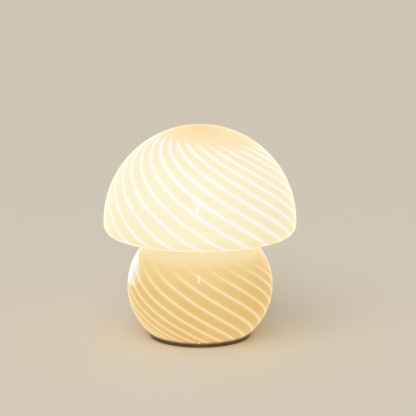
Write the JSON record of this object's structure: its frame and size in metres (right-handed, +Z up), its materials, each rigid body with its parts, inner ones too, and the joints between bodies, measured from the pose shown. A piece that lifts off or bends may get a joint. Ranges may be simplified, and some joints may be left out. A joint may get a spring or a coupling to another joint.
{
  "type": "mushroom table lamp",
  "caption": "Round striped glass table lamp with a mushroom cap, globe body, low metal base, stem, lampholder and a screw-in bulb; the glass lifts off and the bulb unscrews.",
  "frame": {"origin": "middle of the flat face the lamp rests on", "axes": "+Z up the lamp's axis, -Y to the front, +Y to the lead's entry"},
  "size_m": [0.18, 0.18, 0.2],
  "materials": {
    "amber_glass": "gloss, striped, lit from inside",
    "base_finish": "gloss",
    "seat_silicone": "translucent silicone",
    "cover_plastic": "matt",
    "pad_rubber": "matt",
    "zinc_steel": "zinc plated",
    "spring_steel": "satin",
    "bushing_rubber": "matt",
    "sleeve_brass": "polished",
    "holder_plastic": "satin",
    "core_ceramic": "fired",
    "contact_brass": "plain",
    "bulb_cap_metal": "nickel plated",
    "insulator_black": "gloss",
    "bulb_white": "satin",
    "opal_diffuser": "opal",
    "board_white": "white lacquer",
    "led_phosphor": "gloss",
    "board_green": "gloss",
    "part_black": "gloss",
    "block_nylon": "translucent",
    "live_insulation": "satin",
    "neutral_insulation": "satin"
  },
  "bodies": {
    "base": {"base_pan": "base_finish", "seat_ring": "seat_silicone", "bottom_cover": "cover_plastic", "foot_pad": "pad_rubber", "cover_posts": "zinc_steel", "cover_screws": "zinc_steel", "cord_bushing": "bushing_rubber", "spring_spider": "spring_steel", "stem_tube": "zinc_steel", "stem_washer": "zinc_steel", "stem_nut_lower": "zinc_steel", "stem_nut_upper": "zinc_steel", "stem_sleeve": "sleeve_brass", "holder_cap": "holder_plastic", "holder_sleeve": "holder_plastic", "holder_core": "core_ceramic", "terminal_posts": "contact_brass", "terminal_screws": "zinc_steel", "screw_shell": "contact_brass", "shell_rivets": "contact_brass", "centre_contact": "contact_brass", "terminal_block": "block_nylon", "terminal_inserts": "contact_brass", "clamp_screws": "zinc_steel", "block_screw": "zinc_steel", "live_wire": "live_insulation", "neutral_wire": "neutral_insulation"},
    "glass": {"glass_body": "amber_glass"},
    "bulb_tip": {"bulb_tip_contact": "contact_brass"},
    "bulb": {"bulb_insulator": "insulator_black", "bulb_screw_cap": "bulb_cap_metal", "bulb_collar": "bulb_white", "led_board": "board_white", "led_chips": "led_phosphor", "driver_board": "board_green", "driver_parts": "part_black", "bulb_envelope": "opal_diffuser"}
  },
  "joints": [
    {"name": "glass_lift", "type": "slide", "parent": "base", "child": "glass", "axis": [0, 0, 1], "range_m": [0, 0.16]},
    {"name": "bulb_travel", "type": "slide", "parent": "base", "child": "bulb_tip", "axis": [0, 0, 1], "range_m": [0, 0.01452]},
    {"name": "bulb_turn", "type": "hinge", "parent": "bulb_tip", "child": "bulb", "pos_m": [0, 0, 0.09], "axis": [0, 0, 1], "range_deg": [0, 1440]}
  ],
  "couplings": [
    {"joint": "bulb_travel", "follows": "bulb_turn", "m_per_rad": 0.00057757}
  ]
}
